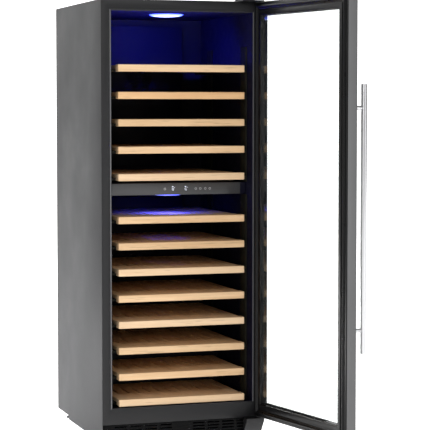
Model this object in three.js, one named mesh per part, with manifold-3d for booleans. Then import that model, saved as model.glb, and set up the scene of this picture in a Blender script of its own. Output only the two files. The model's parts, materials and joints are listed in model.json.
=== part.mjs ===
// A free-standing two-zone wine cooler with a right-hung glass door, drawn with the door open.
// Millimetres, +Z up. The front looks along -Y. The origin is the centre of the base pan's underside.
import * as THREE from "three";
import { mergeVertices } from "three/addons/utils/BufferGeometryUtils.js";
import Module from "manifold-3d";

const wasm = await Module();
wasm.setup();

// ---- driving dimensions ----
const GAP = 0.3; // between pieces that touch
const CAB_W = 595;
const CAB_D = 677;
const CAB_H = 1559;
const SHEET = 1.2; // outer steel sheet
const HALF_IN = CAB_W / 2 - SHEET - GAP; // half-width between the side panels
const REAR_STEP_Y = 502; // the underside is higher behind this line
const REAR_STEP_Z = 15.5;
const FOOT_H = 16; // the front feet's height below the base pan

const OPEN_X = 267.4; // half-width of the front opening
const OPEN_Z0 = 119.6;
const OPEN_Z1 = 1524.3;
const FRAME_Z0 = 64; // the front frame's lower edge, with the plinth grille below
const FRAME_T = 1.5;
const FRAME_D = 18; // depth of the frame's returned edges

const LINER_X = 262; // inner half-width of the food-safe tub
const LINER_T = 2;
const LINER_Y1 = 600;
const LINER_Z0 = 112;
const LINER_Z1 = 1518.9;
const HUMP_Y = 395; // the tub's floor steps up over the compressor
const HUMP_Z = 290;
const LIP = 1; // the tub's rim stands proud of the front frame by this

const DIV_Z0 = 870; // insulated divider between the zones
const DIV_Z1 = 912;
const FASCIA_Y = 75;
const FASCIA_X = 241;

const SHELF_X = 234; // half-width of a shelf's front beam
const SHELF_Y = 7.4; // the beam's front face behind the cabinet's front
const BEAM_T = 38;
const BEAM_H = 25;
const DECK_DROP = 2; // the deck lies this far below the beam's top
const DECK_T = 14;
const DECK_X = 231;
const SLOT_W = 9; // bottle-side air slots between the slats
const SLOT_PITCH = 39;
const SLOTS = 11;
const SLOT_ROWS = [[155, 277], [381, 489]]; // behind the cabinet's front
const UPPER_TOP = 1333; // the highest shelf's top
const UPPER_PITCH = 96;
const UPPER_COUNT = 5;
const LOWER_TOP = 798;
const LOWER_PITCH = 92.5;
const LOWER_COUNT = 8;
const SHORT_COUNT = 2; // the lowest shelves stop short of the hump
const LONG_END = 525;
const SHORT_END = 370;

const RUNNER_X = 257.7; // inner face of the upright runner strips
const LEDGE_X = 218; // inner edge of the ledges
const LEDGE_T = 8;
const STRIP_Y = [60, 122];
const REAR_STRIP_Y = [450, 510];
const LEDGE_END = 540;

const DUCT_X = 170;
const DUCT_Y = 548;
const DUCT_T = 3;
const FAN_R = 50;
const FAN_Y = 560;
const SHAFT_R = 4;
const RUNNING = 0.17; // a bore is this much larger in radius than the pin or shaft that turns in it
const DUCTS = { upper: [960, 1490, 1300], lower: [330, 840, 640] }; // low, high and fan height

const DOOR_W = 593;
const DOOR_T = 39;
const DOOR_Z0 = 69;
const DOOR_Z1 = 1557;
const STILE = 46; // width of the inner frame's sides
const OUTER_STILE = 30; // width of the outer frame's sides
const RAIL = 49;
const DOOR_GAP = 8; // between the closed door's inner face and the cabinet
const PIN_U = 14; // the hinge axis from the door's hinge edge
const PIN_T = 13; // and from its inner face
const PIN_R = 4.5;
const PIN_X = DOOR_W / 2 - PIN_U;
const PIN_Y = -DOOR_GAP - PIN_T;
const OPEN_DEG = 101; // how far the door stands open at rest
const PANE_T = 4;
const GASKET_T = 7;

const HANDLE_INSET = 19; // from the door's free edge
const HANDLE_OUT = 39.5; // from the outer face to the bar's centre
const HANDLE_R = 10.5;
const HANDLE_Z = [361, 1260];
const POST_R = 7;
const POST_Z = [440, 1181];

const GRILLE_Y = 8; // set back behind the front frame
const GRILLE_SLOT = [44, 5];
const GRILLE_ROWS = [20, 31, 42, 53];
const GRILLE_COLUMNS = [62, 117, 172, 228];

const COMPRESSOR_R = 82;
const COMPRESSOR_AT = [-130, 545];
const CONDENSER_FAN_R = 62;
const CONDENSER_FAN_AT = [62, 545, 125];

// ---- materials ----
const finish = (color, roughness, metalness = 0) => ({ color, roughness, metalness });
const BLACK_STEEL = finish(0x6f7073, 0.42, 0.55);
const FRAME_BLACK = finish(0x2f3032, 0.5);
const LINER_BLACK = finish(0x101018, 0.35);
const GALVANISED = finish(0x8a8d90, 0.45, 0.8);
const PLASTIC = finish(0x242527, 0.5);
const FASCIA_GREY = finish(0x67696b, 0.35, 0.4);
const BEECH = finish(0xe6bd8a, 0.55);
const ALUMINIUM = finish(0xb9bcc0, 0.35, 0.9);
const STAINLESS = finish(0xd3d5d8, 0.22, 1);
const RUBBER = finish(0x3a3a3c, 0.8);
const LENS = finish(0xdfe8ff, 0.3);
const COPPER = finish(0xa8683c, 0.35, 0.9);

// ---- geometry helpers ----
const box = ([x0, x1], [y0, y1], [z0, z1]) =>
  new THREE.BoxGeometry(x1 - x0, y1 - y0, z1 - z0)
    .translate((x0 + x1) / 2, (y0 + y1) / 2, (z0 + z1) / 2);

const outline = (points) => new THREE.Shape(points.map(([u, v]) => new THREE.Vector2(u, v)));
const rectangle = ([u0, u1], [v0, v1]) => [[u0, v0], [u1, v0], [u1, v1], [u0, v1]];
const extrude = (shape, depth) =>
  new THREE.ExtrudeGeometry(shape, { depth, bevelEnabled: false, steps: 1, curveSegments: 8 });

// A shape drawn in X and Z, extruded along Y.
const alongY = (shape, [y0, y1]) => extrude(shape, y1 - y0).rotateX(Math.PI / 2).translate(0, y1, 0);

// A shape drawn in Y and Z, extruded along X.
const YZ_TO_X = new THREE.Matrix4().set(0, 0, 1, 0, 1, 0, 0, 0, 0, 1, 0, 0, 0, 0, 0, 1);
const alongX = (points, [x0, x1]) =>
  extrude(outline(points), x1 - x0).applyMatrix4(YZ_TO_X).translate(x0, 0, 0);

// A flat ring in X and Z: an outer rectangle with an inner one taken out, extruded along Y.
function ring(outerX, outerZ, innerX, innerZ, y) {
  const shape = outline(rectangle(outerX, outerZ));
  shape.holes.push(new THREE.Path(outline(rectangle(innerX, innerZ)).getPoints()));
  return alongY(shape, y);
}

const turned = (points, segments) =>
  new THREE.LatheGeometry(points.map(([r, z]) => new THREE.Vector2(r, z)), segments);

// A cylinder from z0 to z1 about +Z.
const rod = (r, [z0, z1], sides = 16) =>
  turned([[0, z0], [r, z0], [r, z1], [0, z1]], sides).rotateX(Math.PI / 2);

function solidOf(geometry) {
  const bare = geometry.index ? geometry.toNonIndexed() : geometry.clone();
  bare.deleteAttribute("normal");
  bare.deleteAttribute("uv");
  const merged = mergeVertices(bare, 1e-4);
  return new wasm.Manifold(
    new wasm.Mesh({
      numProp: 3,
      vertProperties: new Float32Array(merged.attributes.position.array),
      triVerts: new Uint32Array(merged.index.array),
    }),
  );
}

function geometryOf(solid) {
  const mesh = solid.getMesh();
  const points = new Float32Array(mesh.numVert * 3);
  for (let i = 0; i < mesh.numVert; i++) {
    points.set(mesh.vertProperties.subarray(i * mesh.numProp, i * mesh.numProp + 3), i * 3);
  }
  return new THREE.BufferGeometry()
    .setAttribute("position", new THREE.BufferAttribute(points, 3))
    .setIndex(new THREE.BufferAttribute(mesh.triVerts, 1))
    .toNonIndexed();
}

const join = (...geometries) =>
  geometryOf(geometries.map(solidOf).reduce((whole, next) => whole.add(next)));
const cut = (geometry, ...tools) =>
  geometryOf(tools.map(solidOf).reduce((whole, tool) => whole.subtract(tool), solidOf(geometry)));

function add(group, name, geometry, look) {
  if (!geometry.attributes.normal) geometry.computeVertexNormals();
  const mesh = new THREE.Mesh(geometry, new THREE.MeshStandardMaterial(look));
  mesh.name = name;
  group.add(mesh);
  return mesh;
}

const both = (half) => [-half, half];
const span = (count, make) => Array.from({ length: count }, (_, i) => make(i));

// ---- outer casing ----
function casing(cabinet) {
  const sideProfile = [
    [0, 0], [REAR_STEP_Y, 0], [REAR_STEP_Y, REAR_STEP_Z],
    [CAB_D, REAR_STEP_Z], [CAB_D, CAB_H], [0, CAB_H],
  ];
  const outer = CAB_W / 2;
  add(cabinet, "side_panel_left", alongX(sideProfile, [-outer, -outer + SHEET]), BLACK_STEEL);
  add(cabinet, "side_panel_right", alongX(sideProfile, [outer - SHEET, outer]), BLACK_STEEL);
  const topZ = CAB_H - SHEET;
  add(cabinet, "top_panel", box(both(HALF_IN), [0, CAB_D], [topZ, CAB_H]), BLACK_STEEL);
  const backY = [CAB_D - SHEET, CAB_D];
  const coverTop = HUMP_Z - 26;
  const backZ = [coverTop + GAP, topZ - GAP];
  add(cabinet, "back_panel", box(both(HALF_IN), backY, backZ), GALVANISED);
  add(cabinet, "machine_cover", machineCover(coverTop, backY), GALVANISED);
  const t = 1.5;
  const pan = [
    [14, 0], [REAR_STEP_Y, 0], [REAR_STEP_Y, REAR_STEP_Z], [CAB_D - 4, REAR_STEP_Z],
    [CAB_D - 4, REAR_STEP_Z + t], [REAR_STEP_Y - t, REAR_STEP_Z + t], [REAR_STEP_Y - t, t], [14, t],
  ];
  add(cabinet, "base_pan", alongX(pan, both(HALF_IN)), GALVANISED);
  const w = FRAME_T;
  const frameOuter = [both(HALF_IN), [FRAME_Z0, topZ - GAP]];
  const opening = [both(OPEN_X), [OPEN_Z0, OPEN_Z1]];
  const face = ring(...frameOuter, ...opening, [0, w]);
  const inner = ring(both(OPEN_X + w), [OPEN_Z0 - w, OPEN_Z1 + w], ...opening, [0.5, FRAME_D]);
  const rim = ring(
    ...frameOuter, both(HALF_IN - w), [FRAME_Z0 + w, topZ - GAP - w], [0.5, FRAME_D],
  );
  add(cabinet, "front_frame", join(face, inner, rim), FRAME_BLACK);
  add(cabinet, "plinth_grille", plinthGrille(), PLASTIC);
  const gland = turned([[0, 0], [13, 0], [13, 8], [9, 8], [9, 18], [6, 22], [0, 22]], 16);
  add(cabinet, "cable_gland", gland, PLASTIC).position.set(-225, CAB_D + GAP, 70);
}

// The rear cover of the machine compartment, with rows of air slots.
function machineCover(top, [y0, y1]) {
  const slots = [-150, -50, 50, 150].flatMap((x) =>
    span(5, (i) => box([x - 36, x + 36], [y0 - 1, y1 + 1], [60 + 34 * i, 68 + 34 * i])));
  return cut(box(both(HALF_IN), [y0, y1], [REAR_STEP_Z + 4, top]), ...slots);
}

function plinthGrille() {
  const [length, height] = GRILLE_SLOT;
  const centres = GRILLE_COLUMNS.flatMap((column) => [-column, column]);
  const slots = centres.flatMap((x) =>
    GRILLE_ROWS.map((z) =>
      box([x - length / 2, x + length / 2], [GRILLE_Y - 1, GRILLE_Y + 4], [z - height / 2, z + height / 2])));
  return cut(box(both(HALF_IN), [GRILLE_Y, GRILLE_Y + 3], [4, FRAME_Z0 - GAP]), ...slots);
}

// A levelling foot: a threaded stem on a round pad, standing on the floor.
function feet(cabinet) {
  const places = {
    front_left: [-255, 50, 0], front_right: [255, 50, 0],
    rear_left: [-255, 625, REAR_STEP_Z], rear_right: [255, 625, REAR_STEP_Z],
  };
  for (const [place, [x, y, under]] of Object.entries(places)) {
    const top = under - GAP;
    const profile = [[0, -FOOT_H], [22, -FOOT_H], [20, -FOOT_H + 6], [7, -FOOT_H + 9], [7, top], [0, top]];
    const foot = turned(profile, 16).rotateX(Math.PI / 2);
    add(cabinet, "foot_" + place, foot, PLASTIC).position.set(x, y, 0);
  }
}

// ---- the tub, its divider, lamps and control fascia ----
function interior(cabinet) {
  const frontY = FRAME_D + GAP;
  const wall = LINER_T;
  const tub = (x, y0, y1, z0, z1, humpY, humpZ) =>
    alongX([[y0, z0], [humpY, z0], [humpY, humpZ], [y1, humpZ], [y1, z1], [y0, z1]], both(x));
  const outerTub = tub(
    LINER_X + wall, frontY, LINER_Y1 + wall, LINER_Z0 - wall, LINER_Z1 + wall,
    HUMP_Y + wall, HUMP_Z - wall,
  );
  const cavity = tub(LINER_X, frontY + wall, LINER_Y1, LINER_Z0, LINER_Z1, HUMP_Y, HUMP_Z);
  const rim = box(both(OPEN_X - GAP), [-LIP, frontY + 1], [OPEN_Z0 + GAP, OPEN_Z1 - GAP]);
  const mouth = box(both(LINER_X), [-LIP - 1, frontY + wall + 1], [OPEN_Z0 + 2.4, LINER_Z1]);
  add(cabinet, "inner_liner", cut(join(outerTub, rim), cavity, mouth), LINER_BLACK);

  const dividerX = both(LINER_X - GAP);
  const divider = cut(
    box(dividerX, [FASCIA_Y + 3, LINER_Y1 - GAP], [DIV_Z0, DIV_Z1]),
    box(both(LINER_X - 3), [FASCIA_Y + 6, LINER_Y1], [DIV_Z0 + 2.5, DIV_Z1 - 2.5]),
  );
  add(cabinet, "zone_divider", divider, LINER_BLACK);
  const fascia = box(both(FASCIA_X), [FASCIA_Y, FASCIA_Y + 2.7], [DIV_Z0, DIV_Z1]);
  add(cabinet, "control_fascia", fascia, FASCIA_GREY);

  for (const [zone, ceiling] of [["upper", LINER_Z1], ["lower", DIV_Z0]]) {
    const lens = turned([[0, -8], [45, -6.5], [62, -2], [62, -GAP], [0, -GAP]], 24).rotateX(Math.PI / 2);
    add(cabinet, "lamp_" + zone, lens, LENS).position.set(0, 200, ceiling);
  }
}

// ---- shelf runners ----
const shelfTops = {
  upper: span(UPPER_COUNT, (i) => UPPER_TOP - UPPER_PITCH * i),
  lower: span(LOWER_COUNT, (i) => LOWER_TOP - LOWER_PITCH * i),
};
const isShort = (zone, i) => zone === "lower" && i >= LOWER_COUNT - SHORT_COUNT;
const deckBottom = (top) => top - DECK_DROP - DECK_T;

function runner(side, zone, [low, high]) {
  const wall = [side * RUNNER_X, side * (LINER_X - GAP)].sort((a, b) => a - b);
  const ledge = [side * LEDGE_X, side * (RUNNER_X + 1)].sort((a, b) => a - b);
  const rearLow = zone === "lower" ? HUMP_Z + GAP : low;
  const pieces = [box(wall, STRIP_Y, [low, high]), box(wall, REAR_STRIP_Y, [rearLow, high])];
  if (zone === "lower") pieces.push(box(wall, [320, 380], [low, deckBottom(shelfTops.lower[6])]));
  shelfTops[zone].forEach((top, i) => {
    const z = deckBottom(top) - 0.4;
    const end = isShort(zone, i) ? 385 : LEDGE_END;
    pieces.push(box(ledge, [STRIP_Y[0], end], [z - LEDGE_T, z]));
  });
  return join(...pieces);
}

function runners(cabinet) {
  const zones = { upper: [DIV_Z1 + 2, 1400], lower: [LINER_Z0 + GAP, DIV_Z0 - 2] };
  for (const [zone, z] of Object.entries(zones)) {
    add(cabinet, "runner_left_" + zone, runner(-1, zone, z), PLASTIC);
    add(cabinet, "runner_right_" + zone, runner(1, zone, z), PLASTIC);
  }
}

// ---- shelves ----
// A beech front beam with a deck of slats, joined by solid cross strips between the slots.
function shelf(top, end) {
  const beam = box(both(SHELF_X), [SHELF_Y, SHELF_Y + BEAM_T], [top - BEAM_H, top]);
  const deckZ = [deckBottom(top), top - DECK_DROP];
  const slots = SLOT_ROWS.filter(([, y1]) => y1 < end).flatMap(([y0, y1]) =>
    span(SLOTS, (i) => (i - (SLOTS - 1) / 2) * SLOT_PITCH).map((x) =>
      box([x - SLOT_W / 2, x + SLOT_W / 2], [y0, y1], [deckZ[0] - 1, deckZ[1] + 1])));
  const deck = cut(box(both(DECK_X), [SHELF_Y + BEAM_T - 1, end], deckZ), ...slots);
  return join(beam, deck);
}

function shelves(cabinet) {
  let number = 0;
  for (const [zone, tops] of Object.entries(shelfTops)) {
    tops.forEach((top, i) => {
      number += 1;
      const end = isShort(zone, i) ? SHORT_END : LONG_END;
      add(cabinet, "shelf_" + String(number).padStart(2, "0"), shelf(top, end), BEECH);
    });
  }
}

// ---- refrigeration ----
// A cover over the evaporator with an air inlet in front of its fan, and the fan's shaft inside.
function duct(low, high, fanZ) {
  const slots = [-1, 1].flatMap((side) =>
    span(7, (i) => (i - 3) * 13).map((dz) => {
      const x = [side * 6, side * Math.sqrt(FAN_R ** 2 - dz ** 2)].sort((a, b) => a - b);
      return box(x, [DUCT_Y - 1, DUCT_Y + DUCT_T + 1], [fanZ + dz - 3, fanZ + dz + 3]);
    }));
  const plate = cut(box(both(DUCT_X), [DUCT_Y, DUCT_Y + DUCT_T], [low, high]), ...slots);
  const inner = [both(DUCT_X - DUCT_T), [low + DUCT_T, high - DUCT_T]];
  const sides = ring(both(DUCT_X), [low, high], ...inner, [DUCT_Y + 1, LINER_Y1 - GAP]);
  const shaft = rod(SHAFT_R, [0, 20]).rotateX(-Math.PI / 2).translate(0, DUCT_Y + 1, fanZ);
  return join(plate, sides, shaft);
}

// A fan rotor about +Z: a hub with pitched blades and a blind bore for the shaft at z = 0.
function rotor(radius, depth, blades) {
  const pieces = [rod(radius * 0.34, [0, depth])];
  const length = radius * 0.72;
  for (let i = 0; i < blades; i++) {
    pieces.push(
      new THREE.BoxGeometry(length, radius * 0.42, 1.6)
        .rotateX(0.5)
        .translate(radius - length / 2 - 1, 0, depth / 2)
        .rotateZ((i / blades) * 2 * Math.PI),
    );
  }
  return cut(join(...pieces), rod(SHAFT_R + RUNNING, [-1, depth - 3]));
}

function evaporator(z0) {
  const pieces = [box([-140, 140], [590, 593], [z0, z0 + 150])];
  for (const x of span(12, (i) => -132 + 24 * i)) {
    pieces.push(box([x - 0.8, x + 0.8], [572, 591], [z0 + 6, z0 + 144]));
  }
  return join(...pieces);
}

function refrigeration(cabinet) {
  for (const [zone, [low, high, fanZ]] of Object.entries(DUCTS)) {
    add(cabinet, "duct_cover_" + zone, duct(low, high, fanZ), LINER_BLACK);
    const fan = add(cabinet, "fan_rotor_" + zone, rotor(FAN_R - 2, 14, 7), PLASTIC);
    fan.position.set(0, FAN_Y, fanZ);
    fan.rotation.x = -Math.PI / 2;
    add(cabinet, "evaporator_" + zone, evaporator(low + 30), ALUMINIUM);
  }

  const [cx, cy] = COMPRESSOR_AT;
  const r = COMPRESSOR_R;
  const shell = turned(
    [
      [r, 40], [r, 190], [r * 0.86, 215], [r * 0.45, 228], [0, 232], [0, 229],
      [r * 0.44, 225], [r * 0.83, 212], [r - 3, 188], [r - 3, 40], [r, 40],
    ],
    20,
  ).rotateX(Math.PI / 2);
  const base = box([-r - 8, r + 8], [-r + 10, r - 10], [REAR_STEP_Z + 24, REAR_STEP_Z + 28]);
  const corners = [[-1, -1], [1, -1], [1, 1], [-1, 1]];
  const legs = corners.map(([x, y]) =>
    rod(9, [REAR_STEP_Z + 2, REAR_STEP_Z + 25], 12).translate(x * (r - 6), y * (r - 22), 0));
  const compressor = join(shell, base, ...legs);
  add(cabinet, "compressor", compressor, PLASTIC).position.set(cx, cy, 0);

  const panTop = REAR_STEP_Z + 1.5 + GAP;
  const [fx, fy, fz] = CONDENSER_FAN_AT;
  const fan = add(cabinet, "condenser_fan_rotor", rotor(CONDENSER_FAN_R, 22, 5), PLASTIC);
  fan.position.set(fx, fy, fz);
  fan.rotation.y = Math.PI / 2;
  const shroudX = [fx - 1, fx + 23];
  const opening = rod(CONDENSER_FAN_R + 3, [fx - 2, fx + 24], 32)
    .rotateY(Math.PI / 2)
    .translate(0, fy, fz);
  const panel = cut(box(shroudX, [fy - 78, fy + 78], [panTop, fz + 78]), opening);
  const strut = box([fx - 6, fx - 0.5], [fy - 78, fy + 78], [fz - 8, fz + 8]);
  const shaft = rod(SHAFT_R, [fx - 3, fx + 17]).rotateY(Math.PI / 2).translate(0, fy, fz);
  add(cabinet, "condenser_fan_shroud", join(panel, strut, shaft), PLASTIC);

  const coil = [box([fx + 34, fx + 37], [fy - 75, fy + 75], [panTop, 200])];
  for (const z of span(9, (i) => 40 + 19 * i)) {
    coil.push(box([fx + 36, fx + 110], [fy - 75, fy + 75], [z - 1.2, z + 1.2]));
  }
  add(cabinet, "condenser", join(...coil), COPPER);

  const tray = cut(
    box([-215, -45], [462, 628], [232.3, 260]),
    box([-213, -47], [464, 626], [234.3, 261]),
  );
  add(cabinet, "drip_tray", tray, PLASTIC);
}

// ---- hinges ----
function hinges(cabinet) {
  const bracketX = [228, 295];
  const wedge = alongX([[-GAP, 12], [-6, 12], [-37, 54], [-39, 64.5], [-GAP, 64.5]], bracketX);
  const lowerPin = rod(PIN_R, [60, DOOR_Z0 + 14]).translate(PIN_X, PIN_Y, 0);
  add(cabinet, "hinge_bottom", join(wedge, lowerPin), FRAME_BLACK);

  const plateTop = CAB_H + GAP + 4;
  const plate = box([212, 294], [-37, 62], [CAB_H + GAP, plateTop]);
  const upperPin = rod(PIN_R, [DOOR_Z1 - 14, CAB_H + 2]).translate(PIN_X, PIN_Y, 0);
  add(cabinet, "hinge_top", join(plate, upperPin), FRAME_BLACK);
  const cover = box([214, 266], [-12, 60], [plateTop + GAP, plateTop + 21]);
  add(cabinet, "hinge_cover", cover, PLASTIC);
}

// ---- door ----
// Drawn closed, with the hinge axis as its own origin: X runs from the hinge edge at PIN_U
// to the free edge, and Y from the inner face at PIN_T to the outer face.
function door() {
  const group = new THREE.Group();
  const hingeEdge = PIN_U;
  const freeEdge = PIN_U - DOOR_W;
  const outerY = PIN_T - DOOR_T;
  const inX = (inset) => [freeEdge + inset, hingeEdge - inset];
  const inZ = (inset) => [DOOR_Z0 + inset, DOOR_Z1 - inset];
  const doorRing = (from, toX, toZ, y) => ring(inX(from), inZ(from), inX(toX), inZ(toZ), y);

  const unitX = 20; // the glass unit sits this far inside the door's edges
  const unitZ = 34;
  const skin = 1.5;
  const paneY = [outerY + skin + GAP, PIN_T - 7];
  const edge = doorRing(0, skin, skin, [outerY, PIN_T - 3]);
  const face = doorRing(0, OUTER_STILE, RAIL, [outerY, outerY + skin]);
  const blockX = [-14, PIN_U - 1];
  const blockY = [-14, PIN_T - 3];
  const blocks = [[DOOR_Z0 + 1, DOOR_Z0 + 24], [DOOR_Z1 - 24, DOOR_Z1 - 1]];
  const boreR = PIN_R + RUNNING;
  const outerFrame = cut(
    join(edge, face, ...blocks.map((z) => box(blockX, blockY, z))),
    rod(boreR, [DOOR_Z0 - 1, DOOR_Z0 + 16]), rod(boreR, [DOOR_Z1 - 16, DOOR_Z1 + 1]),
  );
  add(group, "door_outer_frame", outerFrame, BLACK_STEEL);

  const pane = (y0) => box(inX(unitX), [y0, y0 + PANE_T], inZ(unitZ));
  add(group, "glass_pane_outer", pane(paneY[0]), LENS);
  add(group, "glass_pane_inner", pane(paneY[1]), LENS);
  const spacerY = [paneY[0] + PANE_T + GAP, paneY[1] - GAP];
  const spacer = ring(inX(unitX + 1), inZ(unitZ + 1), inX(unitX + 8), inZ(unitZ + 8), spacerY);
  add(group, "glass_spacer", spacer, PLASTIC);

  const innerBase = doorRing(1.8, STILE, RAIL, [PIN_T - 3 + GAP, PIN_T]);
  const innerRim = doorRing(30, STILE, RAIL, [PIN_T - 1, PIN_T + 4]);
  const clear = (z) => rod(PIN_R + 3, z);
  const innerFrame = cut(
    join(innerBase, innerRim), clear([DOOR_Z0 - 1, DOOR_Z0 + 17]), clear([DOOR_Z1 - 17, DOOR_Z1 + 1]),
  );
  add(group, "door_inner_frame", innerFrame, FRAME_BLACK);

  const foot = doorRing(11, 26, 26, [PIN_T + GAP, PIN_T + GAP + 3]);
  const bulb = doorRing(13, 23, 23, [PIN_T + GAP + 2, PIN_T + GAP + GASKET_T - 0.6]);
  add(group, "door_gasket", join(foot, bulb), RUBBER);

  const barX = freeEdge + HANDLE_INSET;
  const barY = outerY - HANDLE_OUT;
  add(group, "handle_bar", rod(HANDLE_R, HANDLE_Z, 24), STAINLESS).position.set(barX, barY, 0);
  POST_Z.forEach((z, i) => {
    const length = HANDLE_OUT - HANDLE_R - 2 * GAP;
    const post = rod(POST_R, [0, length], 16).rotateX(Math.PI / 2);
    const name = i ? "handle_post_upper" : "handle_post_lower";
    add(group, name, post, STAINLESS).position.set(barX, outerY - GAP, z);
  });

  group.position.set(PIN_X, PIN_Y, 0);
  group.rotation.z = THREE.MathUtils.degToRad(OPEN_DEG);
  return group;
}

// The cabinet is drawn with its front face at Y = 0 and moved so that its middle is the origin.
const cabinet = new THREE.Group();
cabinet.position.set(0, -CAB_D / 2, 0);
casing(cabinet);
feet(cabinet);
interior(cabinet);
runners(cabinet);
shelves(cabinet);
refrigeration(cabinet);
hinges(cabinet);
cabinet.add(door());

const cooler = new THREE.Group();
cooler.add(cabinet);

export default cooler;
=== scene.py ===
"""Looks for a tall two-zone wine cooler, glass door open: materials, rounded edges, timber, lights."""
import json
import math

import bmesh
import bpy
from mathutils import Matrix, Vector


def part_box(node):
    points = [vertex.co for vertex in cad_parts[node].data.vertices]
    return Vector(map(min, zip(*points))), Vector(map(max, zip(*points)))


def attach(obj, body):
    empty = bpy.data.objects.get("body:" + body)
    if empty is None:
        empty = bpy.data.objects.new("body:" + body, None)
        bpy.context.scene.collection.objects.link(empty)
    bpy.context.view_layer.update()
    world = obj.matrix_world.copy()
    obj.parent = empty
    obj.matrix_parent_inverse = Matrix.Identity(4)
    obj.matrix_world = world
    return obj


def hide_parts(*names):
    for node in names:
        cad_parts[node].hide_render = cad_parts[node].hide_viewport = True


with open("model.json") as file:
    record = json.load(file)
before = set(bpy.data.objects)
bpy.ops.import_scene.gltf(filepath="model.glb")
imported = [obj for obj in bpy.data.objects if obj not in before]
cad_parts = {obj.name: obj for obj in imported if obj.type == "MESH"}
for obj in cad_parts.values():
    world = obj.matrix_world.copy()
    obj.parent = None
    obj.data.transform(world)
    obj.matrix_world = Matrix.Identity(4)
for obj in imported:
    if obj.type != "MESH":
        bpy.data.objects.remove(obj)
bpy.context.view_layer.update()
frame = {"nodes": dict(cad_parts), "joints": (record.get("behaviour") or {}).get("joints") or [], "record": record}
MM = 0.001
JOINTS = {joint["name"]: joint for joint in frame["joints"]}
HINGE = JOINTS["door_hinge"]
OPEN_ANGLE = math.radians(-HINGE["range_deg"][0])  # the rest pose is open, and the low limit is closed
DOOR_PLACE = Matrix.Translation(HINGE["pos_m"]) @ Matrix.Rotation(OPEN_ANGLE, 4, "Z")
FLOOR_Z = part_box("foot_front_left")[0].z
SHELVES = sorted(node for node in frame["nodes"] if node.startswith("shelf_"))
BODY_OF = {
    node: body
    for body, nodes in frame["record"]["behaviour"]["bodies"].items()
    for node in nodes
}


# ---- materials ----
def node(tree, kind, inputs=None, **settings):
    """A new shader node with its sockets' fixed values and its settings."""
    made = tree.nodes.new(kind)
    for key, value in settings.items():
        setattr(made, key, value)
    for key, value in (inputs or {}).items():
        made.inputs[key].default_value = value
    return made


def surface(name, color, roughness, metallic=0.0, **sockets):
    """A material with a Principled shader, its node tree, and the object's own coordinates."""
    material = bpy.data.materials.new(name)
    material.use_nodes = True
    tree = material.node_tree
    shader = tree.nodes["Principled BSDF"]
    shader.inputs["Base Color"].default_value = (*color, 1)
    shader.inputs["Roughness"].default_value = roughness
    shader.inputs["Metallic"].default_value = metallic
    for key, value in sockets.items():
        shader.inputs[key.replace("_", " ")].default_value = value
    place = node(tree, "ShaderNodeTexCoord").outputs["Object"]
    return material, tree, shader, place


def stretched(tree, place, scale):
    mapping = node(tree, "ShaderNodeMapping", {"Scale": scale})
    tree.links.new(place, mapping.inputs["Vector"])
    return mapping.outputs["Vector"]


def noise(tree, vector, scale, detail=3, roughness=0.5, distortion=0.0):
    texture = node(
        tree, "ShaderNodeTexNoise",
        {"Scale": scale, "Detail": detail, "Roughness": roughness, "Distortion": distortion},
    )
    tree.links.new(vector, texture.inputs["Vector"])
    return texture.outputs["Fac"]


def vary(tree, factor, socket, low, high):
    """Drives a socket between two numbers with a factor from about 0.3 to 0.7."""
    ramp = node(tree, "ShaderNodeMapRange", {"From Min": 0.3, "From Max": 0.7, "To Min": low, "To Max": high})
    tree.links.new(factor, ramp.inputs["Value"])
    tree.links.new(ramp.outputs["Result"], socket)


def tint(tree, factor, shader, stops):
    """Colours a shader by a factor that runs through (position, colour) stops."""
    ramp = node(tree, "ShaderNodeValToRGB")
    elements = ramp.color_ramp.elements
    while len(elements) < len(stops):
        elements.new(0.5)
    for element, (position, color) in zip(elements, stops):
        element.position = position
        element.color = (*color, 1)
    tree.links.new(factor, ramp.inputs["Fac"])
    tree.links.new(ramp.outputs["Color"], shader.inputs["Base Color"])
    return ramp


def bump(tree, height, shader, distance, strength=1.0):
    raised = node(tree, "ShaderNodeBump", {"Distance": distance, "Strength": strength})
    tree.links.new(height, raised.inputs["Height"])
    tree.links.new(raised.outputs["Normal"], shader.inputs["Normal"])


def shades(color, share):
    """Two colour stops, a share darker and a share lighter than a colour."""
    return [(0.35, [c * (1 - share) for c in color]), (0.65, [min(1, c * (1 + share)) for c in color])]


def coated_steel(name, color, roughness, metallic=0.0, grain=0.00002, level=0.5):
    """Powder-coated sheet: faint orange peel, with the gloss and tone drifting slowly over the sheet."""
    material, tree, shader, place = surface(name, color, roughness, metallic, Specular_IOR_Level=level)
    drift = noise(tree, place, 5, 4)
    tint(tree, drift, shader, shades(color, 0.05))
    vary(tree, drift, shader.inputs["Roughness"], roughness - 0.05, roughness + 0.06)
    bump(tree, noise(tree, place, 900, 2), shader, grain)
    return material


def moulded(name, color, roughness, grain=0.00006, scale=1400, level=0.4):
    """Injection-moulded plastic with a fine spark-eroded texture."""
    material, tree, shader, place = surface(name, color, roughness, Specular_IOR_Level=level)
    tint(tree, noise(tree, place, 12, 4), shader, shades(color, 0.08))
    vary(tree, noise(tree, place, 40, 3), shader.inputs["Roughness"], roughness - 0.06, roughness + 0.06)
    bump(tree, noise(tree, place, scale, 2), shader, grain)
    return material


def brushed(name, color, roughness, stretch, metallic=1.0):
    """Metal brushed along one direction: streaks far longer than they are wide."""
    material, tree, shader, place = surface(name, color, roughness, metallic)
    streaks = noise(tree, stretched(tree, place, stretch), 60, 5, 0.65)
    tint(tree, streaks, shader, shades(color, 0.07))
    vary(tree, streaks, shader.inputs["Roughness"], roughness - 0.07, roughness + 0.09)
    bump(tree, streaks, shader, 0.00003)
    return material


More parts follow.
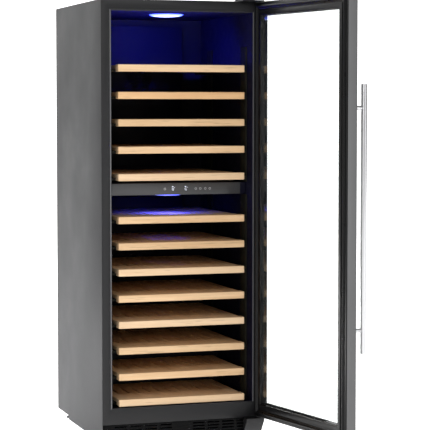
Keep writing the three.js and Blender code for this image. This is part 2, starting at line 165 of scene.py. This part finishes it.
def galvanised(name, color):
    """Zinc-coated sheet with its spangle of dull crystals."""
    material, tree, shader, place = surface(name, color, 0.55, 0.4)
    spangle = node(tree, "ShaderNodeTexVoronoi", {"Scale": 150})
    tree.links.new(place, spangle.inputs["Vector"])
    grey = node(tree, "ShaderNodeRGBToBW")
    tree.links.new(spangle.outputs["Color"], grey.inputs["Color"])
    tint(tree, grey.outputs["Val"], shader, shades(color, 0.08))
    vary(tree, grey.outputs["Val"], shader.inputs["Roughness"], 0.5, 0.62)
    return material


def beech(name, stretch, light, dark, seed):
    """Oiled beech: soft growth bands along the grain, with short brown flecks."""
    material, tree, shader, place = surface(name, light, 0.5, Specular_IOR_Level=0.35)
    shifted = node(tree, "ShaderNodeMapping", {"Scale": stretch, "Location": (seed, seed * 0.7, seed * 1.3)})
    tree.links.new(place, shifted.inputs["Vector"])
    grain = shifted.outputs["Vector"]
    bands = noise(tree, grain, 26, 6, 0.6, 0.6)
    middle = [(a + b) / 2 for a, b in zip(light, dark)]
    ramp = tint(tree, bands, shader, [(0.34, dark), (0.5, middle), (0.66, light)])
    flecks = noise(tree, grain, 210, 2, 0.4)
    cut = node(
        tree, "ShaderNodeMapRange", {"From Min": 0.62, "From Max": 0.72, "To Min": 0.0, "To Max": 0.45},
    )
    tree.links.new(flecks, cut.inputs["Value"])
    mix = node(tree, "ShaderNodeMix", data_type="RGBA")
    mix.inputs["B"].default_value = (*[c * 0.55 for c in dark], 1)
    tree.links.new(cut.outputs["Result"], mix.inputs["Factor"])
    tree.links.new(ramp.outputs["Color"], mix.inputs["A"])
    tree.links.new(mix.outputs["Result"], shader.inputs["Base Color"])
    vary(tree, bands, shader.inputs["Roughness"], 0.42, 0.58)
    bump(tree, flecks, shader, 0.00012)
    return material


def clear_glass(name):
    material, tree, shader, place = surface(
        name, (0.97, 0.985, 0.98), 0.01, Transmission_Weight=1.0, IOR=1.46,
    )
    vary(tree, noise(tree, place, 3, 4), shader.inputs["Roughness"], 0.0, 0.02)
    return material


LENS_RADIUS = 0.062  # metres


def lit_lens(name, strength):
    """A diffuser that is near white over its lamp and blue towards its rim."""
    material, tree, shader, place = surface(name, (0.85, 0.9, 1.0), 0.35)
    distance = node(tree, "ShaderNodeVectorMath", operation="LENGTH")
    tree.links.new(place, distance.inputs[0])
    ramp = node(tree, "ShaderNodeValToRGB")
    scaled = node(
        tree, "ShaderNodeMapRange", {"From Min": 0.0, "From Max": LENS_RADIUS, "To Min": 0.0, "To Max": 1.0},
    )
    tree.links.new(distance.outputs["Value"], scaled.inputs["Value"])
    tree.links.new(scaled.outputs["Result"], ramp.inputs["Fac"])
    first, last = ramp.color_ramp.elements
    first.position, first.color = 0.35, (0.62, 0.74, 1.0, 1)
    last.position, last.color = 0.95, (0.02, 0.06, 1.0, 1)
    tree.links.new(ramp.outputs["Color"], shader.inputs["Emission Color"])
    shader.inputs["Emission Strength"].default_value = strength
    return material


DARK_STEEL = coated_steel("satin_dark_steel", (0.03, 0.03, 0.031), 0.54, level=0.06)
DOOR_STEEL = coated_steel("door_dark_steel", (0.115, 0.115, 0.117), 0.42, level=0.3)
BLACK_STEEL = coated_steel("black_steel", (0.009, 0.009, 0.01), 0.42, level=0.3)
BLACK_PLASTIC = moulded("black_plastic", (0.01, 0.01, 0.011), 0.48, level=0.3)
FRAME_PLASTIC = moulded("door_frame_plastic", (0.003, 0.003, 0.0033), 0.34, 0.00001, level=0.22)
# Black rubber, made darker than the other rubber as painted shade: the shade that falls on the seal at the door's
# hinge side.
SEAL_RUBBER_AND_SHADE = moulded("door_seal_rubber_painted_shade", (0.003, 0.003, 0.0033), 0.32, 0.00001, 900, level=0.22)
# Black plastic made darker and duller than the feet's, as painted shade of the plinth's recess.
PLINTH_BLACK_SHADED = moulded("plinth_black_painted_shade", (0.003, 0.003, 0.0033), 0.5, level=0.08)
RUNNER_GREY = moulded("runner_plastic", (0.014, 0.0135, 0.0095), 0.5, level=0.12)
TUB_PLASTIC = moulded("tub_plastic", (0.005, 0.005, 0.014), 0.42, 0.00003, level=0.2)
# Painted highlight: the tub's rim is coloured lighter than the tub, and its sides lighter still.
RIM_PAINTED_HIGHLIGHT = moulded("tub_rim_painted_highlight", (0.02, 0.02, 0.022), 0.4, 0.00003)
RIM_SIDES_PAINTED_HIGHLIGHT = moulded("tub_rim_sides_painted_highlight", (0.1, 0.1, 0.105), 0.36, 0.00003)
FASCIA_GREY = brushed("fascia_grey", (0.07, 0.07, 0.073), 0.42, (0.05, 1, 1), 0.4)
STAINLESS = brushed("stainless_brushed", (0.54, 0.54, 0.55), 0.3, (1, 1, 0.004))
ALUMINIUM = brushed("aluminium_mill", (0.55, 0.57, 0.59), 0.36, (0.04, 1, 1))
ZINC = galvanised("galvanised_sheet", (0.2, 0.205, 0.215))
SCREW_STEEL = brushed("screw_steel", (0.3, 0.3, 0.31), 0.4, (1, 1, 1))
RUBBER = moulded("black_rubber", (0.012, 0.012, 0.013), 0.62, 0.00004, 900)
COMPRESSOR_BLACK = coated_steel("compressor_black", (0.014, 0.014, 0.015), 0.3)
GLASS = clear_glass("clear_glass")
PRINT_GREY = moulded("printed_grey", (0.45, 0.45, 0.46), 0.5, 0.00001)
FIGURE_LIGHT = moulded("lit_figures", (0.7, 0.75, 0.85), 0.4, 0.00001)
FIGURE_GLOW = 1.2
figure_shader = FIGURE_LIGHT.node_tree.nodes["Principled BSDF"]
figure_shader.inputs["Emission Color"].default_value = (0.8, 0.85, 1.0, 1)
figure_shader.inputs["Emission Strength"].default_value = FIGURE_GLOW
LAMP_UPPER = lit_lens("lamp_lens_upper", 5)
LAMP_LOWER = lit_lens("lamp_lens_lower", 2.5)

# The material for each slot of the record.
CAD_MATERIAL = {
    "satin_dark_steel": DARK_STEEL, "black_steel": BLACK_STEEL, "black_plastic": BLACK_PLASTIC,
    "tub_plastic": TUB_PLASTIC, "galvanised": ZINC, "fascia_grey": FASCIA_GREY,
    "lamp_lens": LAMP_UPPER, "aluminium": ALUMINIUM, "stainless": STAINLESS, "rubber": RUBBER,
    "clear_glass": GLASS, "compressor_black": COMPRESSOR_BLACK,
}
SLOT_OF = {part["node"]: part["material_slot"] for part in frame["record"]["subparts"]}


# ---- mesh helpers ----
def link(name, mesh, body, material):
    piece = bpy.data.objects.new(name, mesh)
    bpy.context.scene.collection.objects.link(piece)
    piece.data.materials.clear()
    piece.data.materials.append(material)
    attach(piece, body)
    return piece


def soften(piece, width, segments=2, angle=35):
    """Rounds a piece's edges, so that they catch the light."""
    piece.data.shade_smooth()
    bevel = piece.modifiers.new("edges", "BEVEL")
    bevel.width = width
    bevel.segments = segments
    bevel.limit_method = "ANGLE"
    bevel.angle_limit = math.radians(angle)
    bevel.harden_normals = True
    return piece


def finished(node_name, edge=0.5 * MM, segments=2, material=None):
    """The CAD node's own form with its triangles paired and its edges rounded; it stands for the node."""
    mesh = frame["nodes"][node_name].data.copy()
    form = bmesh.new()
    form.from_mesh(mesh)
    bmesh.ops.remove_doubles(form, verts=form.verts, dist=1e-5)
    bmesh.ops.join_triangles(
        form, faces=form.faces, angle_face_threshold=math.radians(1), angle_shape_threshold=math.pi,
    )
    form.to_mesh(mesh)
    form.free()
    slot = SLOT_OF[node_name]
    piece = link(node_name + "_form", mesh, BODY_OF[node_name], material or CAD_MATERIAL[slot])
    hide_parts(node_name)
    if slot == "clear_glass":
        piece.data.shade_flat()
        return piece
    return soften(piece, edge, segments)


def boxes_mesh(name, boxes):
    mesh = bpy.data.meshes.new(name)
    form = bmesh.new()
    for low, high in boxes:
        low, high = Vector(low), Vector(high)
        place = Matrix.Translation((low + high) / 2) @ Matrix.Diagonal((*(high - low), 1))
        bmesh.ops.create_cube(form, size=1, matrix=place)
    form.to_mesh(mesh)
    form.free()
    return mesh


def turned(name, profile, segments=64):
    """A solid of revolution about Z from (radius, height) points that start and end on the axis."""
    mesh = bpy.data.meshes.new(name)
    form = bmesh.new()
    rings = []
    for radius, height in profile:
        if radius == 0:
            rings.append([form.verts.new((0, 0, height))])
        else:
            rings.append([
                form.verts.new((radius * math.cos(a), radius * math.sin(a), height))
                for a in (2 * math.pi * i / segments for i in range(segments))
            ])
    for lower, upper in zip(rings, rings[1:]):
        for i in range(segments):
            j = (i + 1) % segments
            below = lower[i % len(lower)], lower[j % len(lower)]
            corners = [*below, upper[j % len(upper)], upper[i % len(upper)]]
            form.faces.new(list(dict.fromkeys(corners)))
    bmesh.ops.recalc_face_normals(form, faces=form.faces)
    form.to_mesh(mesh)
    form.free()
    mesh.shade_smooth()
    return mesh


def rounded_rod(radius, length, edge):
    """Profile of a rod along Z from 0 to length with rounded ends."""
    arc = [math.radians(a) for a in (0, 22, 45, 68, 90)]
    start = [(radius - edge + edge * math.sin(a), edge - edge * math.cos(a)) for a in arc]
    end = [(radius - edge + edge * math.cos(a), length - edge + edge * math.sin(a)) for a in arc]
    return [(0, 0), *start, *end, (0, length)]


# ---- shelves ----
# Oiled beech in four tones, each a (light, dark) pair.
BEECH_TONES = [
    ((0.80, 0.56, 0.33), (0.66, 0.42, 0.22)),
    ((0.80, 0.52, 0.27), (0.66, 0.38, 0.18)),
    ((0.84, 0.62, 0.40), (0.70, 0.48, 0.28)),
    ((0.76, 0.53, 0.31), (0.62, 0.40, 0.21)),
]
ALONG_X = (0.06, 1, 1)
ALONG_Y = (1, 0.06, 1)
BEAM_WOOD = [beech(f"beech_beam_{i}", ALONG_X, *tone, 3.1 * i) for i, tone in enumerate(BEECH_TONES)]
DECK_WOOD = [beech(f"beech_deck_{i}", ALONG_Y, *tone, 1.7 + 2.3 * i) for i, tone in enumerate(BEECH_TONES)]
BEAM_DEPTH = 38 * MM
DECK_DROP, DECK_THICK, DECK_HALF = 2 * MM, 14 * MM, 231 * MM
SLOT, PITCH, COLUMNS = 9 * MM, 39 * MM, 11
SLOT_ROWS = [(155 * MM, 277 * MM), (381 * MM, 489 * MM)]
BEAM_EDGE, DECK_EDGE = 2.2 * MM, 1.0 * MM
FILLER_DROP = 0.4 * MM  # the blocks between slats lie this far below them
SHELF_TONES = (0, 1, 3, 0, 2, 0, 3, 2, 0, 2, 3, 0, 2)  # from the top shelf down
CABINET_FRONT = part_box("side_panel_left")[0].y


def shelf_pieces(shelf, tone):
    """A rounded front beam, and slats with filler blocks between them wherever there is no air slot."""
    low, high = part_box(shelf)
    beam_back = low.y + BEAM_DEPTH
    beam = boxes_mesh(shelf + "_beam", [(low, (high.x, beam_back, high.z))])
    beam_piece = link(shelf + "_beam", beam, shelf, BEAM_WOOD[tone])
    soften(beam_piece, BEAM_EDGE, 4)
    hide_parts(shelf)

    top = high.z - DECK_DROP
    bottom = top - DECK_THICK
    edges = [(i - (COLUMNS - 1) / 2) * PITCH for i in range(COLUMNS)]
    starts = [-DECK_HALF] + [x + SLOT / 2 for x in edges]
    ends = [x - SLOT / 2 for x in edges] + [DECK_HALF]
    slats = [((a, beam_back, bottom), (b, high.y, top)) for a, b in zip(starts, ends)]
    rows = [(CABINET_FRONT + a, CABINET_FRONT + b) for a, b in SLOT_ROWS if CABINET_FRONT + b < high.y]
    solid = list(zip([beam_back] + [b for _, b in rows], [a for a, _ in rows] + [high.y]))
    fillers = [
        ((x - SLOT / 2, y0, bottom), (x + SLOT / 2, y1, top - FILLER_DROP)) for x in edges for y0, y1 in solid
    ]
    deck_mesh = boxes_mesh(shelf + "_deck", slats + fillers)
    deck = link(shelf + "_deck", deck_mesh, shelf, DECK_WOOD[tone])
    soften(deck, DECK_EDGE, 2)


for shelf, tone in zip(SHELVES, SHELF_TONES):
    shelf_pieces(shelf, tone)

# ---- casing, tub and door ----
# How far each node's edges are rounded, in mm.
EDGES = {
    "side_panel_left": 0.5, "side_panel_right": 0.5, "top_panel": 0.4, "front_frame": 0.6,
    "back_panel": 0.4, "machine_cover": 0.4, "base_pan": 0.4,
    "zone_divider": 1.5, "duct_cover_upper": 2.0, "duct_cover_lower": 2.0, "control_fascia": 0.8,
    "hinge_bottom": 1.2, "hinge_top": 0.8, "hinge_cover": 3.0,
    "drip_tray": 0.6, "glass_pane_outer": 0.4, "glass_pane_inner": 0.4, "glass_spacer": 0.3,
    "condenser": 0.3, "evaporator_upper": 0.2, "evaporator_lower": 0.2, "compressor": 1.0,
    "condenser_fan_shroud": 1.0, "fan_rotor_upper": 0.4, "fan_rotor_lower": 0.4, "condenser_fan_rotor": 0.4,
}
for name, edge in EDGES.items():
    finished(name, edge * MM)
finished("door_inner_frame", 1.0 * MM, material=FRAME_PLASTIC)
finished("door_outer_frame", 0.6 * MM, material=DOOR_STEEL)
# The plinth grille's darker black is painted shade.
finished("plinth_grille", 0.6 * MM, material=PLINTH_BLACK_SHADED)
for runner in ("left_upper", "right_upper", "left_lower", "right_lower"):
    finished("runner_" + runner, 1.0 * MM, material=RUNNER_GREY)

RIM_DEPTH, SIDE_HIGHLIGHT_WIDTH = 0.5 * MM, 15 * MM
# The tub's rim, which stands proud round the front opening, is coloured lighter than its walls as a painted
# highlight, and lighter still at its sides, where light catches the rim's edge.
tub = finished("inner_liner", 0.8 * MM)
tub.data.materials.append(RIM_PAINTED_HIGHLIGHT)
tub.data.materials.append(RIM_SIDES_PAINTED_HIGHLIGHT)
tub_low, tub_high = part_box("inner_liner")
for face in tub.data.polygons:
    if face.center.y < tub_low.y + RIM_DEPTH:
        # The rim's upright sides get the stronger painted highlight.
        upright = min(face.center.x - tub_low.x, tub_high.x - face.center.x) < SIDE_HIGHLIGHT_WIDTH
        face.material_index = 2 if upright else 1


# Seven-segment bars, as (x, z, width, height) in digit units from 0 to 1.
SEGMENTS = {
    "a": (0.5, 1.0, 0.7, 0.1), "b": (1.0, 0.75, 0.12, 0.4), "c": (1.0, 0.25, 0.12, 0.4),
    "d": (0.5, 0.0, 0.7, 0.1), "e": (0.0, 0.25, 0.12, 0.4), "f": (0.0, 0.75, 0.12, 0.4),
    "g": (0.5, 0.5, 0.7, 0.1),
}
DIGITS = {"1": "bc", "6": "afgedc", "8": "abcdefg"}
DIGIT_W, DIGIT_H, DIGIT_PITCH = 4.8 * MM, 8.5 * MM, 6.8 * MM
DIGIT_FOOT = 0.6  # the strip's middle, up a digit from its foot
FIGURES = ((-22 * MM, "18"), (26 * MM, "16"))  # left edge and number, for the two zones
# Each as (x, z, width, height), from the figure's left edge and the strip's middle.
ICON = (7 * MM, 8 * MM, 5.5 * MM, 2.2 * MM)
DOT = (14.5 * MM, 5 * MM, 1.6 * MM, 1.6 * MM)
BAR_PROUD, BAR_SUNK = 0.2 * MM, 0.1 * MM
TOUCH_X = (-44 * MM, 72 * MM, 89 * MM, 108 * MM, 125 * MM)
RING_OUTER, RING_INNER, RING_PROUD, RING_SIDES = 4.2 * MM, 2.6 * MM, 0.15 * MM, 24


def strip_marks():
    """Lit figures on the control strip, each with an icon and a degree dot, standing a little proud."""
    low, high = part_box("control_fascia")
    middle = (low.z + high.z) / 2
    front = low.y

    def bar(x, z, width, height):
        near = (x - width / 2, front - BAR_PROUD, z - height / 2)
        far = (x + width / 2, front + BAR_SUNK, z + height / 2)
        return near, far

    bars = []
    for left, number in FIGURES:
        for place, digit in enumerate(number):
            for segment in DIGITS[digit]:
                u, v, width, height = SEGMENTS[segment]
                x = left + place * DIGIT_PITCH + u * DIGIT_W
                z = middle + (v - DIGIT_FOOT) * DIGIT_H
                bars.append(bar(x, z, width * DIGIT_W, height * DIGIT_H))
        for x, z, width, height in (ICON, DOT):
            bars.append(bar(left + x, middle + z, width, height))
    link("strip_figures", boxes_mesh("strip_figures", bars), "cabinet", FIGURE_LIGHT)


def touch_rings():
    """Thin printed rings that show where to touch the control strip."""
    low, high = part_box("control_fascia")
    middle = (low.z + high.z) / 2
    front = low.y - RING_PROUD
    section = ((RING_OUTER, low.y), (RING_OUTER, front), (RING_INNER, front), (RING_INNER, low.y))
    mesh = bpy.data.meshes.new("touch_rings")
    form = bmesh.new()
    for x in TOUCH_X:
        points = []
        for i in range(RING_SIDES):
            a = 2 * math.pi * i / RING_SIDES
            points.append([
                form.verts.new((x + r * math.cos(a), y, middle + r * math.sin(a))) for r, y in section
            ])
        for ring, following in zip(points, points[1:] + points[:1]):
            for i in range(len(section)):
                j = (i + 1) % len(section)
                form.faces.new((ring[i], ring[j], following[j], following[i]))
    bmesh.ops.recalc_face_normals(form, faces=form.faces)
    form.to_mesh(mesh)
    form.free()
    link("touch_rings", mesh, "cabinet", PRINT_GREY)


strip_marks()
touch_rings()


def door_piece(name, mesh, node_name, material, place):
    """Links a mesh that is placed in the door's own frame, where the door stands closed."""
    piece = link(name, mesh, "door", material)
    piece.parent = None
    piece.matrix_world = DOOR_PLACE @ place
    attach(piece, "door")
    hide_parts(node_name)
    return piece


def local_centre(node_name):
    """The middle of a node's box, in the door's own frame."""
    low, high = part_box(node_name)
    return DOOR_PLACE.inverted() @ ((low + high) / 2)


HANDLE_RADIUS = 10.5 * MM
POST_RADIUS = 7 * MM
POST_LENGTH = 28.4 * MM  # from the door's face to the bar, less a small gap at the bar
# The seal's section in mm, as (inset from its outer edge, height above its foot): folds, a bulb and
# more folds.
SEAL = [
    (0, 0), (0, 1.3), (0.8, 2.3), (1.6, 1.7), (2.2, 2.1), (2.6, 3.9), (3.6, 5.5), (5.2, 6.3), (7.2, 6.3),
    (8.8, 5.5), (9.8, 3.9), (10.2, 2.1), (10.8, 1.7), (11.6, 2.3), (12.4, 1.7), (13.2, 2.3), (14, 1.7),
    (15, 1.3), (15, 0),
]


def seal_mesh():
    """The rubber seal, mitred at the door's four corners."""
    points = [DOOR_PLACE.inverted() @ vertex.co for vertex in frame["nodes"]["door_gasket"].data.vertices]
    low = [min(point[i] for point in points) for i in range(3)]
    high = [max(point[i] for point in points) for i in range(3)]
    mesh = bpy.data.meshes.new("door_seal_folds")
    form = bmesh.new()
    loops = []
    for inset, height in SEAL:
        x0, x1 = low[0] + inset * MM, high[0] - inset * MM
        z0, z1 = low[2] + inset * MM, high[2] - inset * MM
        y = low[1] + height * MM
        corners = ((x0, y, z0), (x1, y, z0), (x1, y, z1), (x0, y, z1))
        loops.append([form.verts.new(corner) for corner in corners])
    for inner, outer in zip(loops, loops[1:] + loops[:1]):
        for i in range(4):
            j = (i + 1) % 4
            form.faces.new((inner[i], inner[j], outer[j], outer[i]))
    bmesh.ops.recalc_face_normals(form, faces=form.faces)
    form.to_mesh(mesh)
    form.free()
    return mesh


seal = door_piece("door_seal_folds", seal_mesh(), "door_gasket", SEAL_RUBBER_AND_SHADE, Matrix.Identity(4))
soften(seal, 0.3 * MM, 2, 20)

bar_low, bar_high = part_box("handle_bar")
bar_at = local_centre("handle_bar")
bar_length = bar_high.z - bar_low.z
door_piece(
    "handle_bar_round", turned("handle_bar_round", rounded_rod(HANDLE_RADIUS, bar_length, 1.2 * MM), 72),
    "handle_bar", STAINLESS, Matrix.Translation((bar_at.x, bar_at.y, bar_low.z)),
)
for end in ("lower", "upper"):
    at = local_centre("handle_post_" + end)
    turn = Matrix.Translation((at.x, at.y + POST_LENGTH / 2, at.z)) @ Matrix.Rotation(math.pi / 2, 4, "X")
    door_piece(
        "handle_post_round_" + end,
        turned("post_" + end, rounded_rod(POST_RADIUS, POST_LENGTH, 0.6 * MM), 48),
        "handle_post_" + end, STAINLESS, turn,
    )

# Turned profiles below are (radius, height) points in metres.
STEM_RADIUS = 0.007
FOOT = [
    (0, 0), (0.0215, 0), (0.022, 0.001), (0.0205, 0.0055), (0.0195, 0.0065), (0.0085, 0.009),
    (STEM_RADIUS, 0.0105),
]
for place_name in ("front_left", "front_right", "rear_left", "rear_right"):
    low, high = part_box("foot_" + place_name)
    height = high.z - low.z
    profile = FOOT + [(STEM_RADIUS, height), (0, height)]
    mesh = turned("foot_" + place_name, profile, 40)
    mesh.transform(Matrix.Translation(((low.x + high.x) / 2, (low.y + high.y) / 2, low.z)))
    foot = link("foot_round_" + place_name, mesh, "cabinet", BLACK_PLASTIC)
    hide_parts("foot_" + place_name)

# A shallow dome that hangs from its flat back.
LENS = [
    (0, 0), (0.02, 0.0002), (0.045, 0.0016), (0.056, 0.0035), (0.061, 0.0062), (LENS_RADIUS, 0.0077),
    (0, 0.0077),
]
for zone, material in (("upper", LAMP_UPPER), ("lower", LAMP_LOWER)):
    low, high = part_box("lamp_" + zone)
    lens = link("lamp_lens_" + zone, turned("lamp_" + zone, LENS), "cabinet", material)
    lens.parent = None
    lens.matrix_world = Matrix.Translation(((low.x + high.x) / 2, (low.y + high.y) / 2, low.z))
    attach(lens, "cabinet")
    lens.visible_glossy = False
    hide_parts("lamp_" + zone)

gland_low, gland_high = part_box("cable_gland")
GLAND = [
    (0, 0), (0.012, 0), (0.013, 0.001), (0.013, 0.0075), (0.0095, 0.0082), (0.009, 0.018), (0.006, 0.022),
    (0, 0.022),
]
gland_mesh = turned("cable_gland_round", GLAND, 40)
gland_centre = (gland_low + gland_high) / 2
gland_mesh.transform(
    Matrix.Translation((gland_centre.x, gland_low.y, gland_centre.z)) @ Matrix.Rotation(-math.pi / 2, 4, "X")
)
gland = link("cable_gland_round", gland_mesh, "cabinet", BLACK_PLASTIC)
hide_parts("cable_gland")


# ---- screws ----
SCREW_R, SCREW_RISE, RECESS = 4 * MM, 2 * MM, 1.1 * MM
RECESS_TOP, RECESS_FOOT = 1.4 * MM, 0.9 * MM  # the recess's radius at the head's face and at its floor
SCREW_INSET = 9 * MM  # from a sheet's edges


def screws(name, spots, facing, material):
    """Pan-head screws with a round recess, standing on a sheet that faces along `facing`."""
    turn = Vector(facing).to_track_quat("Z", "Y").to_matrix().to_4x4()
    arc = [math.radians(a) for a in (0, 20, 40, 60)]
    rim = [(SCREW_R * math.cos(a), SCREW_RISE * math.sin(a) / math.sin(arc[-1])) for a in arc]
    recess = [(RECESS_TOP, SCREW_RISE), (RECESS_FOOT, SCREW_RISE - RECESS), (0, SCREW_RISE - RECESS)]
    profile = [(0, 0), *rim, *recess]
    head = turned(name + "_head", profile, 16)
    form = bmesh.new()
    for spot in spots:
        copy = head.copy()
        copy.transform(Matrix.Translation(spot) @ turn)
        form.from_mesh(copy)
    mesh = bpy.data.meshes.new(name)
    form.to_mesh(mesh)
    form.free()
    mesh.shade_smooth()
    link(name, mesh, "cabinet", material)


def rim_spots(low, high, inset, columns, rows, y):
    """Points along the four edges of an upright sheet, evenly spaced."""
    xs = [low.x + inset + (high.x - low.x - 2 * inset) * i / (columns - 1) for i in range(columns)]
    zs = [low.z + inset + (high.z - low.z - 2 * inset) * i / (rows - 1) for i in range(rows)]
    return [(x, y, z) for x in xs for z in zs if x in (xs[0], xs[-1]) or z in (zs[0], zs[-1])]


for sheet, rows in (("back_panel", 6), ("machine_cover", 2)):
    low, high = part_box(sheet)
    spots = rim_spots(low, high, SCREW_INSET, 3, rows, high.y)
    screws(sheet + "_screws", spots, (0, 1, 0), SCREW_STEEL)
low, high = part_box("hinge_cover")
middle = (low + high) / 2
screws("hinge_cover_screw", [(middle.x - 12 * MM, middle.y, high.z)], (0, 0, 1), BLACK_STEEL)


# ---- stage, light and camera ----
SHEET_FRONT, SHEET_BEND, SHEET_TOP, SHEET_HALF = -14, 7, 14, 16  # metres
BEND_RADIUS, BEND_STEPS = 3, 12
SHEET_WHITE = (0.9, 0.9, 0.9)
SHEET_GLOW = 1.15


def stage_sheet():
    """A pale floor that curves up into a backdrop."""
    mesh = bpy.data.meshes.new("studio_sheet")
    form = bmesh.new()
    profile = [(SHEET_FRONT, FLOOR_Z), (SHEET_BEND, FLOOR_Z)]
    for i in range(1, BEND_STEPS + 1):
        a = math.pi / 2 * i / BEND_STEPS
        across, up = BEND_RADIUS * math.sin(a), BEND_RADIUS - BEND_RADIUS * math.cos(a)
        profile.append((SHEET_BEND + across, FLOOR_Z + up))
    profile.append((SHEET_BEND + BEND_RADIUS, SHEET_TOP))
    rows = [[form.verts.new((x, y, z)) for x in (-SHEET_HALF, SHEET_HALF)] for y, z in profile]
    for a, b in zip(rows, rows[1:]):
        form.faces.new((a[0], a[1], b[1], b[0]))
    form.to_mesh(mesh)
    form.free()
    mesh.shade_smooth()
    sheet = bpy.data.objects.new("studio_sheet", mesh)
    bpy.context.scene.collection.objects.link(sheet)
    material, tree, shader, place = surface("studio_white", SHEET_WHITE, 0.9)
    tint(tree, noise(tree, place, 0.6, 2), shader, shades(SHEET_WHITE, 0.01))
    shader.inputs["Emission Color"].default_value = (1, 1, 1, 1)
    shader.inputs["Emission Strength"].default_value = SHEET_GLOW
    mesh.materials.append(material)


def area_light(name, place, target, size, power):
    """A rectangular soft light that the camera doesn't see."""
    data = bpy.data.lights.new(name, "AREA")
    data.shape = "RECTANGLE"
    data.size, data.size_y = size
    data.energy = power
    light = bpy.data.objects.new(name, data)
    light.location = place
    light.rotation_euler = (Vector(target) - Vector(place)).to_track_quat("-Z", "Y").to_euler()
    light.visible_camera = False
    bpy.context.scene.collection.objects.link(light)


LAMP_BLUE = (0.012, 0.02, 1.0)
LAMP_WIDTH = 0.11
LAMP_TILT = math.radians(38)  # the light is thrown down and towards the back


def lamp_glow(zone, power):
    """The blue light that a ceiling lamp throws into its zone."""
    low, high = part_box("lamp_" + zone)
    data = bpy.data.lights.new("lamp_glow_" + zone, "AREA")
    data.shape = "DISK"
    data.size = LAMP_WIDTH
    data.energy = power
    data.color = LAMP_BLUE
    glow = bpy.data.objects.new("lamp_glow_" + zone, data)
    glow.location = ((low.x + high.x) / 2, (low.y + high.y) / 2, low.z - 2 * MM)
    glow.rotation_euler = (LAMP_TILT, 0, 0)
    glow.visible_camera = False
    glow.visible_glossy = False
    bpy.context.scene.collection.objects.link(glow)


LAMP_WATTS = {"upper": 13, "lower": 1.6}
# Name: place and target in metres, size in metres, power in watts.
STUDIO_LIGHTS = {
    "key": ((-1.7, -5.6, 3.5), (0, 0, 1.3), (2.0, 1.6), 56),
    "left_card": ((-3.4, -4.0, 1.5), (-0.1, -0.3, 0.9), (2.0, 2.6), 36),
    "side": ((-1.2, 0.25, 0.1), (-0.3, 0.1, 0.08), (0.7, 0.3), 27),
    "right_card": ((3.2, -4.6, 1.3), (0.4, -0.7, 0.9), (2.4, 3.0), 40),
}
WORLD_STRENGTH = 0.3

stage_sheet()
for zone, watts in LAMP_WATTS.items():
    lamp_glow(zone, watts)
for name, setting in STUDIO_LIGHTS.items():
    area_light(name, *setting)
world = bpy.data.worlds.new("studio")
bpy.context.scene.world = world
world.use_nodes = True
world.node_tree.nodes["Background"].inputs["Color"].default_value = (1, 1, 1, 1)
world.node_tree.nodes["Background"].inputs["Strength"].default_value = WORLD_STRENGTH

bpy.context.scene.view_settings.view_transform = "Standard"

CAMERA_PLACE = (-1.8292, -6.1671, 1.1792)  # metres: to the left of the cooler's front, at chest height
CAMERA_PITCH, CAMERA_TURN = math.radians(90 - 3.54), math.radians(-18.49)  # 3.54 degrees downwards
CAMERA_LENS, CAMERA_SENSOR, CAMERA_REACH = 144.4, 36, 60

camera = bpy.data.objects.new("camera", bpy.data.cameras.new("camera"))
camera.data.lens = CAMERA_LENS
camera.data.sensor_width = CAMERA_SENSOR
camera.data.clip_end = CAMERA_REACH
camera.location = CAMERA_PLACE
camera.rotation_euler = (CAMERA_PITCH, 0, CAMERA_TURN)
bpy.context.scene.collection.objects.link(camera)
bpy.context.scene.camera = camera
